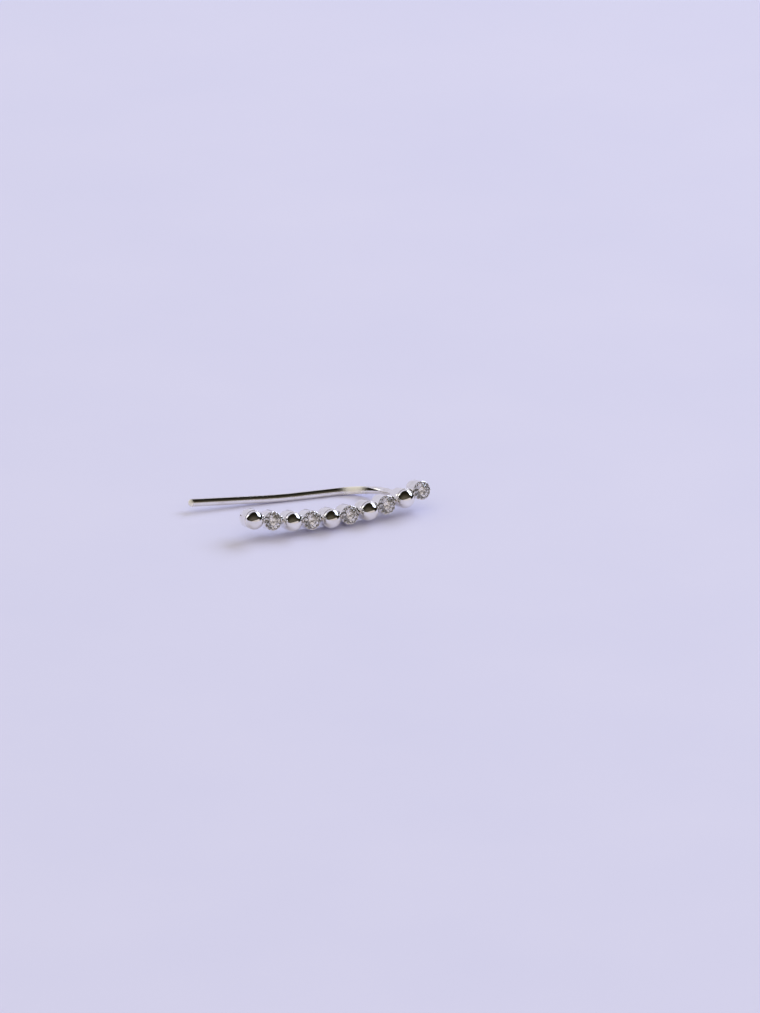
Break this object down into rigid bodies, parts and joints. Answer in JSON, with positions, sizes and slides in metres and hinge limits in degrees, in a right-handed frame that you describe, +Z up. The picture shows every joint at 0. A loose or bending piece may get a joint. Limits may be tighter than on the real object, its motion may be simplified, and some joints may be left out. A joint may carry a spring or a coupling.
{
  "type": "ear climber",
  "caption": "Ear climber: a curved row of alternating polished domes and round stone cups, with a bent ear wire behind it.",
  "frame": {"origin": "middle of the bounding box, on the surface that the piece lies on", "axes": "+X along the row toward the end with the wire's bend, +Y away from the faces, +Z up"},
  "size_m": [0.0222, 0.0118, 0.0033],
  "materials": {
    "silver": "polished",
    "clear_stone": "faceted"
  },
  "bodies": {
    "root": {"climber": "silver", "stone_1": "clear_stone", "stone_2": "clear_stone", "stone_3": "clear_stone", "stone_4": "clear_stone", "stone_5": "clear_stone"}
  },
  "joints": []
}
